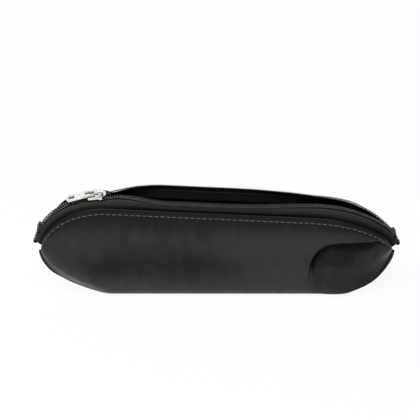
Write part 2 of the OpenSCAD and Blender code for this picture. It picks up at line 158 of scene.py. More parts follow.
@dataclass(frozen=True)
class Outline:
    """The case's outline and cross-section, in mm.

    The sizes down to tip_angle are the CAD model's. Those after it shape what the soft leather
    does: the seam that bows out, the loose mouth, the lifted edge and the corners' flat strips.
    """

    level_length: float = 117.0
    corner_run: float = 38.0
    panel_height: float = 51.0
    top_slope: float = 2.9
    base_half: float = 7.0
    mouth_half: float = 9.0
    tip_half: float = 4.4
    swell: float = 9.5
    heel_rise: float = 14.0
    base_run: float = 0.9
    toe: float = 0.8
    crease: float = 1.45
    skive_k: float = 0.35
    tip_angle: float = 85.0
    bowed: Stretch = Stretch(56.0, 18.0, 98.0, 15.0)
    bow: float = 7.0
    bow_top: float = 27.0
    loose: Stretch = Stretch(50.0, 25.0, 96.0, 14.0)
    slack_front: float = 1.5
    slack_back: float = 2.6
    slack_from: float = 20.0
    slack_rise: float = 26.0
    lifted: Stretch = Stretch(-96.0, 16.0, -50.0, 16.0)
    edge_lift: float = 2.6
    lift_fade: float = 12.0
    flat_from: float = 56.0
    flat_run: float = 24.0
    flat_rise: float = 2.5
    flat_share_left: float = 0.03
    flat_share_right: float = 0.34
    flat_most_left: float = 0.5
    flat_most_right: float = 0.8
    seam_room: float = 0.15

    @property
    def straight(self) -> float:
        """Half of the level part's length."""
        return self.level_length / 2

    @property
    def half_height(self) -> float:
        """Half of the panel's height, which is each corner's vertical radius."""
        return self.panel_height / 2

    def corner_lengths(self) -> tuple[Array, Array]:
        """Corner angles in radians and the distance along the corner to each.

        Each corner is a quarter ellipse; its length is added up in small angle steps.
        """
        table = np.radians(np.linspace(0, 90, 361))
        mid = (table[1:] + table[:-1]) / 2
        step = np.hypot(self.corner_run * np.cos(mid), self.half_height * np.sin(mid)) * np.diff(table)
        return table, np.concatenate([[0.0], np.cumsum(step)])

    def stations(self, s: Array) -> tuple[Array, Array]:
        """Stations at signed distances along the upper outline.

        Args:
            s: Signed distances from the middle, in mm.

        Returns:
            X of each station and its signed corner angle in radians (0 on the level part).
        """
        table, length = self.corner_lengths()
        angle = np.sign(s) * np.interp(np.abs(s) - self.straight, length, table)
        x = np.clip(s, -self.straight, self.straight) + self.corner_run * np.sin(angle)
        return x, angle

    def half_run(self, degrees: float) -> float:
        """Distance along the upper outline from the middle to a corner angle."""
        table, length = self.corner_lengths()
        return self.straight + float(np.interp(math.radians(degrees), table, length))

    def distance(self, x: float) -> float:
        """Signed distance along the upper outline of the station at X."""
        share = min(max((abs(x) - self.straight) / self.corner_run, 0.0), 1.0)
        run = self.half_run(math.degrees(math.asin(share)))
        return x if abs(x) <= self.straight else math.copysign(run, x)

    def outward(self, angle: Array) -> tuple[Array, Array]:
        """X and Z of the upper outline's outward normal: that of the ellipse at each angle."""
        nx, nz = self.half_height * np.sin(angle), self.corner_run * np.cos(angle)
        length = np.hypot(nx, nz)
        return nx / length, nz / length

    def edge_depth(self, full: Array) -> Array:
        """Distance of the leather edge from the middle plane, from tip to mouth."""
        return self.tip_half + (self.mouth_half - self.tip_half) * np.sqrt(full)

    def high(self, x: Array, angle: Array) -> Array:
        """Z of the leather edge: the ellipse's top, less the mouth's slope times X and fullness."""
        full = np.cos(angle)
        return self.half_height * (1 + full) - math.tan(math.radians(self.top_slope)) * x * full

    def controls(self, x: Array, angle: Array) -> tuple[list[Array], list[Array]]:
        """Depths and heights of each station's four Bezier control points."""
        full, share = np.cos(angle), np.abs(np.sin(angle))
        low, high = self.half_height * (1 - full), self.high(x, angle)
        swollen = self.swell * full**0.7
        strip = self.crease + self.toe
        base = strip + (self.base_half - strip) * ease(1 - share / self.base_run)
        edge = self.edge_depth(full)
        depths = [base, base + swollen * 0.62, edge + swollen, edge]
        heights = [low, low + self.heel_rise * share**1.5 * full, low + (high - low) * 0.57, high]
        return depths, heights

    def at(self, x: Array, angle: Array, t: Array) -> Array:
        """Points of the side's outer surface.

        A cubic Bezier from the base at t = 0 to the leather edge at t = 1, in depth and height.

        Args:
            x: X of each point's station.
            angle: Corner angle of each point's station.
            t: Row parameter of each point.

        Returns:
            Array of points by (x, depth, z), in the shape that the arguments broadcast to.
        """
        depths, heights = self.controls(x, angle)
        weights = ((1 - t) ** 3, 3 * t * (1 - t) ** 2, 3 * t * t * (1 - t), t**3)
        depth = sum(w * d for w, d in zip(weights, depths))
        z = sum(w * h for w, h in zip(weights, heights))
        return np.stack(np.broadcast_arrays(x, depth, z), -1)

    def lean(self, x: Array, z: Array) -> Array:
        """How far the soft lower seam bows to the front at the right corner, in mm.

        The bow's share along X, times a smooth step that fades up the side.
        """
        return self.bow * self.bowed.share(x) * (1 - ease(z / self.bow_top))

    def sway(self, side: Side, x: Array, z: Array) -> Array:
        """Extra depth of the soft side over the stiff shape, in mm: the mouth's and the seam's.

        The mouth's is its share along X, times a smooth step that rises up the side.
        """
        most = self.slack_back if side is Side.BACK else self.slack_front
        mouth = most * self.loose.share(x) * ease((z - self.slack_from) / self.slack_rise)
        return mouth + (self.lean(x, z) if side is Side.FRONT else -self.lean(x, z))

    def lift(self, side: Side, x: Array, below: Array) -> Array:
        """How far the back's leather edge stands up beside the shut end, in mm.

        The lift's share along X, times a smooth step that fades below the edge.
        """
        if side is Side.FRONT:
            return np.zeros_like(below)
        return self.edge_lift * self.lifted.share(x) * ease(1 - below / self.lift_fade)

    def pinch(self, x: Array, rise: Array, depth: Array, tall: Array) -> Array:
        """Depth taken off beside the seam, where the corners lie flat against the piping, in mm.

        A bell of the rise over the seam, times a smooth step along each corner, times the depth
        over the seam's own.
        """
        width = self.flat_rise + np.where(x > 0, self.flat_share_right, self.flat_share_left) * tall
        most = np.where(x > 0, self.flat_most_right, self.flat_most_left)
        near = bump(rise, 0, width) * ease((np.abs(x) - self.flat_from) / self.flat_run)
        return most * near * np.maximum(depth - self.crease + self.seam_room, 0)

    def side(self, x: Array, angle: Array, t: Array) -> Array:
        """The side's outer surface as stations by rows by (x, depth, z)."""
        return self.at(x[:, None], angle[:, None], t[None, :])


@dataclass(frozen=True)
class ZipShape:
    """Cross-section and opening of the zip, with the CAD model's sizes, in mm."""

    outline: Outline
    fold_in: float = 1.9
    fold_drop: float = 0.35
    crown: float = 2.5
    tip_lift: float = 1.5
    open_turn: float = 82.0
    tape: float = 0.55
    coil_width: float = 1.9
    coil_height: float = 1.2
    bed_gap: float = 0.12
    post_half: float = 0.6
    slider_x: float = -65.2
    spread_after: float = 2.5
    quick_spread: float = 18.5
    spread_knee: float = 8.8
    spread_run: float = 38.0
    quick_converge: float = 66.5
    converge_knee: float = 23.5
    converge_run: float = 90.5
    last_angle: float = 82.0

    def borders(self) -> list[float]:
        """X of the four zones' borders, from the left tip to the right one."""
        end = self.outline.straight + self.outline.corner_run
        return [-end, self.slider_x + self.spread_knee, -10.0, end - self.converge_knee, end]

    def steps(self) -> list[tuple[float, float]]:
        """Each zone's smooth step, as the X where it is shut and the X where it is open.

        The quick steps beside the slider and at the right tip are given. Each slow step ends at
        its own open X and starts where its share equals the quick step's at their border.
        """
        borders, shut = self.borders(), self.slider_x + self.spread_after
        left, right = (shut, shut + self.quick_spread), (borders[4], borders[4] - self.quick_converge)
        slow = []
        for border, (a, b), far in (
            (borders[1], left, self.slider_x + self.spread_run),
            (borders[3], right, borders[4] - self.converge_run),
        ):
            share = (border - a) / (b - a)
            slow.append(((border - share * far) / (1 - share), far))
        return [left, slow[0], slow[1], right]

    def openness(self, x: Array) -> Array:
        """Share of the full opening at X: each zone's smooth step between its shut and open X."""
        borders = self.borders()
        shares = [ease((x - a) / (b - a)) for a, b in self.steps()]
        return np.select([x < borders[1], x < borders[2], x < borders[3]], shares[:3], shares[3])

    def fold_depth(self, full: Array) -> Array:
        """Distance of the fold line from the middle plane."""
        skive = np.minimum(1, full / self.outline.skive_k)
        return self.outline.edge_depth(full) - self.fold_in * (0.55 + 0.45 * skive)

    def place(self, side: Side, x: Array, angle: Array, section: Array) -> Array:
        """Points of the shut section put at stations and turned by the opening.

        Args:
            side: The half of the case, which sets its sway.
            x: X of each station.
            angle: Corner angle of each station.
            section: Stations by points by (inwards, upwards) from the fold line.

        Returns:
            Stations by points by (x, depth, z).
        """
        full = np.cos(angle)
        nx, nz = self.outline.outward(angle)
        turn = np.radians(self.open_turn) * self.openness(x)
        c, s = np.cos(turn)[:, None], np.sin(turn)[:, None]
        inwards = section[..., 0] * c - section[..., 1] * s
        upwards = section[..., 0] * s + section[..., 1] * c - self.fold_drop
        parted = Stretch(self.slider_x - 2, 5, self.slider_x + 13, 7)
        room = self.post_half * parted.share(x)
        edge_z = self.outline.high(x, angle)
        return np.stack(
            [
                x[:, None] + nx[:, None] * upwards,
                (self.fold_depth(full) + room + self.outline.sway(side, x, edge_z))[:, None] - inwards,
                edge_z[:, None] + nz[:, None] * upwards,
            ],
            -1,
        )

    def landmarks(self, angle: Array) -> tuple[Array, Array]:
        """Knee and tip of the shut section, each stations by (inwards, upwards)."""
        full = np.cos(angle)
        height = self.crown * (self.tip_lift + (1 - self.tip_lift) * np.sqrt(full))
        tip = np.stack([self.fold_depth(full) - 0.05, height], -1)
        return tip * np.array([0.45, 0.88]), tip


# ---------------------------------------------------------------- mesh helpers


@dataclass
class Surface:
    """Vertices and quads, and the named per-vertex values that materials read."""

    points: Array
    quads: Array
    values: dict[str, Array]


def grid_surface(points: Array, closed_rows: bool = False, **values: Array) -> Surface:
    """Quads over a grid of stations by rows.

    Quad (i, j) joins vertices (i, j), (i, j + 1), (i + 1, j + 1) and (i + 1, j).

    Args:
        points: Stations by rows by 3.
        closed_rows: True where the last row meets the first one.
        values: Per-vertex values by name, each stations by rows.

    Returns:
        The surface.
    """
    n, m = points.shape[:2]
    i, j = np.meshgrid(np.arange(n - 1), np.arange(m if closed_rows else m - 1), indexing="ij")
    k = (j + 1) % m
    quads = np.stack([i * m + j, i * m + k, (i + 1) * m + k, (i + 1) * m + j], -1).reshape(-1, 4)
    flat = {name: np.broadcast_to(v, (n, m)).reshape(-1) for name, v in values.items()}
    return Surface(points.reshape(-1, 3), quads, flat)


def tubes(paths: Array, radius: float, sides: int) -> Surface:
    """Round tubes round many paths at once, drawn together to a point at both ends.

    Each path point's ring lies across the path's direction; its first axis is the direction
    crossed with the world's Y or Z, whichever is less parallel to the whole path.

    Args:
        paths: Paths by points by 3.
        radius: Radius of every tube.
        sides: Points round each ring.

    Returns:
        One surface that holds all the tubes.
    """
    along = normalised(np.gradient(paths, axis=1))
    mean = normalised(along.mean(1, keepdims=True))
    helper = np.where(np.abs(mean[..., 2:3]) > 0.8, np.array([0.0, 1.0, 0.0]), np.array([0.0, 0.0, 1.0]))
    a = normalised(np.cross(along, np.broadcast_to(helper, along.shape)))
    b = np.cross(along, a)
    r = np.full((*paths.shape[:2], 1, 1), radius)
    r[:, [0, -1]] *= END_SHARE
    turn = np.linspace(0, 2 * math.pi, sides, endpoint=False)
    ring = np.cos(turn)[:, None] * a[:, :, None, :] + np.sin(turn)[:, None] * b[:, :, None, :]
    points = paths[:, :, None, :] + ring * r
    p, n = paths.shape[:2]
    i, j, k = np.meshgrid(np.arange(p), np.arange(n - 1), np.arange(sides), indexing="ij")
    kk = (k + 1) % sides
    base = (i * n + j) * sides
    quads = np.stack([base + k, base + sides + k, base + sides + kk, base + kk], -1).reshape(-1, 4)
    return Surface(points.reshape(-1, 3), quads, {})


def flipped(surface: Surface, side: Side) -> Surface:
    """The surface on the asked side: depth becomes Y with the side's sign, faces kept outwards."""
    points = surface.points * np.array([1.0, float(side.value), 1.0])
    quads = surface.quads if side is Side.FRONT else surface.quads[:, ::-1]
    return Surface(points, quads, surface.values)


def make_mesh(name: str, surface: Surface, material: bpy.types.Material) -> bpy.types.Object:
    """A smooth-shaded mesh object from a surface in mm.

    Args:
        name: Name of the piece.
        surface: Geometry in mm.
        material: The piece's material.

    Returns:
        The new object, linked to the scene.
    """
    mesh = bpy.data.meshes.new(name)
    mesh.from_pydata((surface.points * MM).tolist(), [], surface.quads.tolist())
    mesh.polygons.foreach_set("use_smooth", np.ones(len(mesh.polygons), bool))
    for key, value in surface.values.items():
        mesh.attributes.new(key, "FLOAT", "POINT").data.foreach_set("value", value.astype(np.float32))
    mesh.update()
    piece = bpy.data.objects.new(name, mesh)
    bpy.context.scene.collection.objects.link(piece)
    mesh.materials.append(material)
    log.info("%s: %d quads", name, len(surface.quads))
    return piece


# ---------------------------------------------------------------- materials


@dataclass(frozen=True)
class Finish:
    """A surface finish: colours as sRGB hex, sizes of its pattern in mm."""

    name: str
    colour: str
    light: str
    roughness: float
    grain_mm: float
    bump_mm: float
    metallic: float = 0.0
    specular: float = 0.5


class Nodes:
    """Small helper that builds a node tree for one material."""

    def __init__(self, finish: Finish) -> None:
        self.material = bpy.data.materials.new(finish.name)
        self.material.use_nodes = True
        self.tree = self.material.node_tree
        self.shader = self.tree.nodes["Principled BSDF"]
        self.shader.inputs["Base Color"].default_value = srgb(finish.colour)
        self.shader.inputs["Roughness"].default_value = finish.roughness
        self.shader.inputs["Metallic"].default_value = finish.metallic
        self.shader.inputs["Specular IOR Level"].default_value = finish.specular
        self.place = self.add("ShaderNodeTexCoord").outputs["Object"]

    def add(self, kind: str, **inputs: object) -> bpy.types.Node:
        """Add a node; each input is a constant or another node's output socket."""
        node = self.tree.nodes.new(kind)
        for name, value in inputs.items():
            self.plug(node, name.replace("_", " "), value)
        return node

    def plug(self, node: bpy.types.Node, name: str | int, value: object) -> None:
        """Set or link one input."""
        if isinstance(value, bpy.types.NodeSocket):
            self.tree.links.new(value, node.inputs[name])
        else:
            node.inputs[name].default_value = value

    def noise(self, size_mm: float, detail: float = 4.0, stretch: Sequence[float] = (1, 1, 1)) -> object:
        """Noise whose features are size_mm across; stretch divides its frequency on each axis."""
        scale = 1000.0 / size_mm
        mapping = self.add("ShaderNodeMapping", Vector=self.place)
        mapping.inputs["Scale"].default_value = tuple(scale / s for s in stretch)
        return self.add("ShaderNodeTexNoise", Vector=mapping.outputs[0], Scale=1.0, Detail=detail).outputs[0]

    def cells(self, size_mm: float) -> object:
        """Distance to the nearest cell's middle in a Voronoi pattern of size_mm cells."""
        return self.add("ShaderNodeTexVoronoi", Vector=self.place, Scale=1000.0 / size_mm).outputs[0]

    def attribute(self, name: str) -> object:
        """A per-vertex value of the mesh."""
        node = self.add("ShaderNodeAttribute")
        node.attribute_name = name
        return node.outputs["Fac"]

    def maths(self, operation: str, a: object, b: object = 0.0) -> object:
        """One Math node."""
        node = self.add("ShaderNodeMath")
        node.operation = operation
        for slot, value in enumerate((a, b)):
            self.plug(node, slot, value)
        return node.outputs[0]

    def plus(self, a: object, b: object) -> object:
        """The sum of two values."""
        return self.maths("ADD", a, b)

    def times(self, a: object, b: object) -> object:
        """The product of two values."""
        return self.maths("MULTIPLY", a, b)

    def span(self, value: object, low: float, high: float, to_low: float, to_high: float) -> object:
        """Map a value from one range to another, held at both ends."""
        node = self.add("ShaderNodeMapRange")
        for slot, v in enumerate((value, low, high, to_low, to_high)):
            self.plug(node, slot, v)
        return node.outputs[0]

    def mix(self, factor: object, dark: str, light: str) -> object:
        """Mix two sRGB colours by a factor."""
        node = self.add("ShaderNodeMix")
        node.data_type = "RGBA"
        self.plug(node, 0, factor)
        node.inputs[6].default_value = srgb(dark)
        node.inputs[7].default_value = srgb(light)
        return node.outputs[2]

    def relief(self, height: object, depth_mm: float) -> None:
        """Bump the surface by a height value of 0 to 1 times depth_mm."""
        node = self.add("ShaderNodeBump", Height=height, Distance=depth_mm * MM, Strength=1.0)
        self.tree.links.new(node.outputs[0], self.shader.inputs["Normal"])

    def colour(self, value: object) -> None:
        """Link the base colour."""
        self.tree.links.new(value, self.shader.inputs["Base Color"])

    def roughness(self, value: object) -> None:
        """Link the roughness."""
        self.tree.links.new(value, self.shader.inputs["Roughness"])


def leather(finish: Finish) -> bpy.types.Material:
    """Smooth glazed calf: fine pores, soft cloudy gloss, and painted light read from the mesh with some
    noise: paler and glossier where it is high (painted reflections), darker and duller where it is low
    (painted shade).
    """
    n = Nodes(finish)
    cloud = n.noise(26, 3)
    # Random tone from noise plus the mesh's painted light: painted reflections where it is high, painted
    # shade where it is low.
    rub = n.plus(n.noise(9, 4, (0.5, 1, 1)), n.attribute("rub"))
    pores = n.cells(finish.grain_mm)
    fine = n.noise(finish.grain_mm * 0.6, 6)
    # The colour mix: paler for the painted reflections, darker for the painted shade.
    pale = n.span(n.plus(rub, n.times(cloud, 0.4)), 0.5, 1.7, 0, 1)
    gloss = n.span(rub, 0.4, 1.1, finish.roughness + 0.24, finish.roughness - 0.04)
    n.colour(n.mix(pale, finish.colour, finish.light))
    n.roughness(n.plus(gloss, n.times(fine, 0.06)))
    n.relief(n.plus(n.span(pores, 0.0, 0.5, 0, 0.5), n.times(fine, 0.5)), finish.bump_mm)
    return n.material


def woven(finish: Finish) -> bpy.types.Material:
    """Woven polyester: two crossed sets of threads along and across the tape.

    Painted shade keeps the tape dark in the bed under the coil, in the strip beside the leather and over the
    whole inner face, and a row of small sewing marks runs along the coil.
    """
    n = Nodes(finish)
    along, across = n.attribute("u_mm"), n.attribute("v_mm")
    turn = 2 * math.pi / finish.grain_mm
    warp = n.maths("SINE", n.times(across, turn))
    weft = n.maths("SINE", n.plus(n.times(along, turn * 0.7), n.times(warp, 1.2)))
    height = n.span(n.times(warp, weft), -1, 1, 0, 1)
    fuzz = n.noise(0.35, 5)
    # Painted shade: factors that darken the strip beside the leather, the bed under the coil and the whole
    # inner face.
    painted_shadow_by_leather = n.span(across, 1.2, 3.4, 0.1, 1)
    painted_shade_under_coil = n.span(across, 5.0, 5.6, 1, 0)
    painted_shade_inner_face = n.span(n.attribute("face"), 0, 1, 0.12, 1)
    painted_shade_mask = n.times(n.times(painted_shadow_by_leather, painted_shade_under_coil), painted_shade_inner_face)
    beat = n.maths("SINE", n.times(along, 2 * math.pi / TOOTH_PITCH))
    row = n.times(n.span(across, 4.6, 4.8, 0, 1), n.span(across, 5.0, 5.2, 1, 0))
    marks = n.times(n.span(beat, 0.1, 0.5, 0, 1.4), row)
    tone = n.times(n.times(height, n.span(fuzz, 0.3, 0.7, 0.5, 1)), painted_shade_mask)
    n.colour(n.mix(n.plus(tone, marks), finish.colour, finish.light))
    n.relief(n.plus(height, n.times(fuzz, 0.5)), finish.bump_mm)
    return n.material


def spun(finish: Finish) -> bpy.types.Material:
    """Twisted thread or monofilament: fine streaks with a little colour change."""
    n = Nodes(finish)
    streak = n.noise(finish.grain_mm, 5, (3, 1, 1))
    n.colour(n.mix(n.span(streak, 0.3, 0.7, 0, 1), finish.colour, finish.light))
    n.roughness(n.span(streak, 0.3, 0.7, finish.roughness - 0.06, finish.roughness + 0.08))
    n.relief(streak, finish.bump_mm)
    return n.material


def plated(finish: Finish) -> bpy.types.Material:
    """Plated metal: near mirror, with faint polishing marks and handling haze."""
    n = Nodes(finish)
    haze = n.noise(2.4, 4)
    marks = n.noise(finish.grain_mm, 6, (8, 1, 1))
    dull = n.span(n.plus(haze, marks), 0.7, 1.3, finish.roughness - 0.05, finish.roughness + 0.08)
    n.colour(n.mix(n.span(haze, 0.35, 0.7, 0, 1), finish.colour, finish.light))
    n.roughness(dull)
    n.relief(n.plus(marks, n.times(haze, 0.8)), finish.bump_mm)
    return n.material


PANEL = Finish("panel_leather", "#040404", "#2a2a2a", 0.26, 0.55, 0.012, specular=0.29)
PIPING = Finish("piping_leather", "#080808", "#101010", 0.28, 0.4, 0.012, specular=0.3)
LINING = Finish("lining_cloth", "#040404", "#080808", 0.9, 0.5, 0.04, specular=0.1)
TAPE = Finish("zip_tape", "#0a0a0a", "#4c4c4d", 0.85, 0.55, 0.05, specular=0.15)
COIL = Finish("coil_nylon", "#464648", "#6a6a6c", 0.28, 0.2, 0.004)
THREAD = Finish("sewing_thread", "#424242", "#6e6e6e", 0.6, 0.12, 0.01)
FILLER = Finish("filler_cord", "#080808", "#101010", 0.8, 0.3, 0.02, specular=0.1)
STOP = Finish("stop_metal", "#101010", "#1c1c1c", 0.45, 0.3, 0.004)
NICKEL = Finish("slider_nickel", "#d4d3d0", "#f4f4f2", 0.16, 0.15, 0.003, metallic=1.0)
SPRING = Finish("spring_steel", "#9a9a98", "#c0c0be", 0.3, 0.15, 0.003, metallic=1.0)


@dataclass
class Palette:
    """The materials, made once."""

    panel: bpy.types.Material
    piping: bpy.types.Material
    lining: bpy.types.Material
    tape: bpy.types.Material
    coil: bpy.types.Material
    thread: bpy.types.Material
    filler: bpy.types.Material
    stop: bpy.types.Material
    nickel: bpy.types.Material
    spring: bpy.types.Material

    @classmethod
    def make(cls) -> "Palette":
        """Build every material."""
        return cls(
            leather(PANEL), leather(PIPING), woven(LINING), woven(TAPE), spun(COIL),
            spun(THREAD), spun(FILLER), plated(STOP), plated(NICKEL), plated(SPRING),
        )


# ---------------------------------------------------------------- pieces


@dataclass(frozen=True)
class Fold:
    """The fold near the right end of the front panel, in mm.

    Its brink runs level from the tip and then turns down along a quarter ellipse. From just
    under the brink the leather slopes out to a low crown.
    """

    along: Stretch = Stretch(49.5, 3.0, 96.0, 15.0)
    foot: float = 9.0
    brink_low: float = 15.5
    brink_rise: float = 17.8
    turn_x: float = 64.0
    turn_run: float = 13.5
    depth: float = 5.4
    lip: float = 2.4
    lip_run: float = 2.8
    slope_from: float = 0.3
    slope_run: float = 14.0
    slope_power: float = 1.3
    crown: float = 1.6
    crown_run: float = 13.0
    crown_drop: float = 0.7
    drop_from: float = 11.0
    drop_run: float = 16.0
    crown_x: float = 52.0
    crown_x_run: float = 16.0

    def give(self, x: Array, z: Array) -> Array:
        """How far the leather stands out of the plain panel: below 0 in the fold."""
        beside = (self.turn_x - np.minimum(x, self.turn_x)) / self.turn_run
        brink = self.brink_low + self.brink_rise * np.sqrt(np.clip(1 - beside**2, 0, 1))
        under = brink - z
        slope = np.clip(1 - (under - self.slope_from) / self.slope_run, 0, 1) ** self.slope_power
        hollow = -self.depth * ease((under + self.lip) / self.lip_run) * slope
        drop = 1 - self.crown_drop * ease((under - self.drop_from) / self.drop_run)
        crown = self.crown * ease(under / self.crown_run) * drop
        crown = crown * ease((x - self.crown_x) / self.crown_x_run)
        return self.along.share(x) * ease(z / self.foot) * (hollow + crown)


FOLD = Fold()
WAVES = {
    Side.FRONT: (
        Bell(-0.5, -54, 20, 31, 6),
        Bell(0.5, -54, 24, 15, 6),
        Bell(-0.25, 5, 20, 38, 6),
        Bell(0.3, 20, 26, 30, 8),
    ),
    Side.BACK: (Bell(-0.5, -30, 40, 24, 10), Bell(-0.5, 45, 30, 20, 9)),
}
# Painted light in the front leather's colour: bells above 0 are painted reflections, paler and glossier;
# bells below 0 are painted shade, darker and duller.
PAINTED_LIGHT_BELLS = (
    Bell(0.95, 42, 30, 36, 9),
    Bell(0.7, 36, 22, 17, 10),
    Bell(0.5, -78, 16, 33, 7),
    Bell(0.35, -45, 22, 38, 5),
    Bell(0.4, -35, 30, 6, 5),
    Bell(0.4, 5, 20, 33, 8),
    Bell(-0.35, -60, 16, 21, 6),
    Bell(-0.45, -15, 26, 22, 7),
)
# Levels of the leather's tone on the back and the front, and of the painted shade on the turned edge and low
# on the right end under the fold.
TONE_BACK = 0.4
TONE_FRONT = 0.3
PAINTED_SHADE_EDGE = -0.5
PAINTED_SHADE_LOW_RIGHT = 0.6


def dents(side: Side, x: Array, z: Array) -> Array:
    """How far the soft leather stands out (positive) or gives (negative), in mm.

    A sum of wide bell shapes, and on the front the fold as well.
    """
    waves = sum(wave.over(x, z) for wave in WAVES[side])
    return waves + FOLD.give(x, z) if side is Side.FRONT else waves


def painted_light_on(side: Side, x: Array, z: Array) -> Array:
    """Painted light on the leather, about 0 to 1: wide bell shapes over the front for painted reflections
    and painted shade, less low on the right end under the fold.
    """
    if side is Side.BACK:
        return np.full_like(x, TONE_BACK)
    # Painted shade low on the right end, under the fold.
    shaded = PAINTED_SHADE_LOW_RIGHT * ease((x - 50) / 5) * (1 - ease((z - 14) / 10))
    return TONE_FRONT + sum(place.over(x, z) for place in PAINTED_LIGHT_BELLS) - shaded


@dataclass
class Panel:
    """One leather panel with its turned edge and its row of topstitching, in mm."""

    outline: Outline
    side: Side
    leather_mm: float = 1.4
    pitch: float = 3.27
    stitch: float = 2.1
    thread: float = 0.5
    buried: float = 0.12
    arch: float = 0.32
    dip: float = 0.8
    inset: float = 2.6
    stations: int = 900
    quiet_seam: float = 0.15
    quiet_edge: float = 0.12
    tip_thickness: float = 0.6
    groove: float = 0.1
    groove_width: float = 0.55
    hole: float = 0.2
    hole_width: float = 0.35
    ripple: float = 0.045
    ripple_below: float = 2.2
    ripple_width: float = 1.6
    bare_tip: float = 4.0
    seam_inside: tuple[float, ...] = (3.0, 1.4, 0.5, 0.12, 0.0)
    seam_depth: tuple[float, ...] = (0.0, 0.0, 0.05, 0.2, 0.45)

    def rows(self) -> Array:
        """Row parameters up the side, closer together near the base and the edge."""
        base, middle, edge = np.linspace(0, 0.1, 10), np.linspace(0.1, 0.85, 52), np.linspace(0.85, 1, 34)
        return np.concatenate([base[:-1], middle[:-1], edge])

    def outer(self, s: Array, t: Array) -> tuple[Array, Array]:
        """Outer surface and its outward normals, with the leather's dents.

        Normals are the cross product of the grid's differences along the rows and the stations.
        """
        x, angle = self.outline.stations(s)
        p = self.outline.side(x, angle, t)
        low, high = p[:, :1, 2], self.outline.high(x, angle)[:, None]
        p[..., 1] -= self.outline.pinch(p[..., 0], p[..., 2] - low, p[..., 1], high - low)
        p[..., 2] += self.outline.lift(self.side, p[..., 0], high - p[..., 2])
        p[..., 1] += self.outline.sway(self.side, p[..., 0], p[..., 2])
        normal = normalised(np.cross(np.gradient(p, axis=1), np.gradient(p, axis=0)))
        normal *= np.sign(normal[..., 1:2].mean() or 1)
        quiet = ease(t / self.quiet_seam) * ease((1 - t) / self.quiet_edge)
        give = dents(self.side, p[..., 0], p[..., 2]) * quiet[None, :]
        return p + normal * give[..., None], normal

    def stitch_marks(self, s: Array, below: Array) -> Array:
        """How deep the stitch row presses into the leather, in mm.

        A shallow groove, deeper at each needle hole, and a slight ripple between the stitches.
        Both stop short of the tips.
        """
        half = self.outline.half_run(self.outline.tip_angle)
        phase = np.abs(((s / self.pitch + 0.5) % 1) - 0.5) * self.pitch
        hole = bump(phase, self.pitch / 2, self.hole_width)[:, None]
        groove = bump(below, self.inset, self.groove_width) * (self.groove + self.hole * hole)
        wave = np.cos(2 * math.pi * s / self.pitch)[:, None]
        ripple = self.ripple * bump(below, self.ripple_below, self.ripple_width) * wave
        return (groove + ripple) * (np.abs(s) < half - self.bare_tip)[:, None]

    def turned_edge(self, p: Array, normal: Array, thick: Array) -> Array:
        """The edge: a half circle of the leather's thickness, a little flattened."""
        up = normalised(p[:, -1] - p[:, -2])
        out = normal[:, -1]
        roll = np.linspace(0, math.pi, 10)[1:]
        r = (thick / 2)[:, None, None]
        edge = p[:, -1:] - out[:, None] * r * (1 - np.cos(roll))[None, :, None]
        return edge + up[:, None] * r * (np.sin(roll) * 0.9)[None, :, None]

    def seam(self, x: Array, angle: Array) -> Array:
        """The strip that is sewn in beside the piping, from inside the case to the outer face."""
        full = np.cos(angle)
        nx, nz = self.outline.outward(angle)
        low = self.outline.half_height * (1 - full)
        skive = np.minimum(1, full / self.outline.skive_k)
        inside = np.array(self.seam_inside)[None, :] * skive[:, None]
        depth = np.broadcast_to(self.outline.crease + np.array(self.seam_depth), inside.shape)
        strip = np.stack([x[:, None] - nx[:, None] * inside, depth, low[:, None] + nz[:, None] * inside], -1)
        strip[..., 1] += self.outline.sway(self.side, strip[..., 0], strip[..., 2])
        return strip

    def surface(self) -> Surface:
        """The leather: seam, outer face with its stitch marks, turned edge and the inner face's rim."""
        half = self.outline.half_run(self.outline.tip_angle)
        s = np.linspace(-half, half, self.stations)
        t = self.rows()
        p, normal = self.outer(s, t)
        x, angle = self.outline.stations(s)
        skive = np.minimum(1, np.cos(angle) / self.outline.skive_k)
        thick = self.leather_mm * (self.tip_thickness + (1 - self.tip_thickness) * skive)
        below = np.linalg.norm(p - p[:, -1:], axis=-1)
        p = p - normal * self.stitch_marks(s, below)[..., None]
        edge = self.turned_edge(p, normal, thick)
        rim_rows = t[::-1][1:40:2]
        inner, inner_normal = self.outer(s, rim_rows)
        inner = inner - inner_normal * thick[:, None, None]
        seam = self.seam(x, angle)
        points = np.concatenate([seam, p, edge, inner], 1)
        # The leather's colour carries painted light: the bells' painted reflections and painted shade, and
        # painted shade on the last outer rows, the turned edge and the inner rim.
        rub = painted_light_on(self.side, points[..., 0], points[..., 2])
        rub[:, seam.shape[1] + p.shape[1] - 2 :] = PAINTED_SHADE_EDGE
        return grid_surface(points, rub=rub)

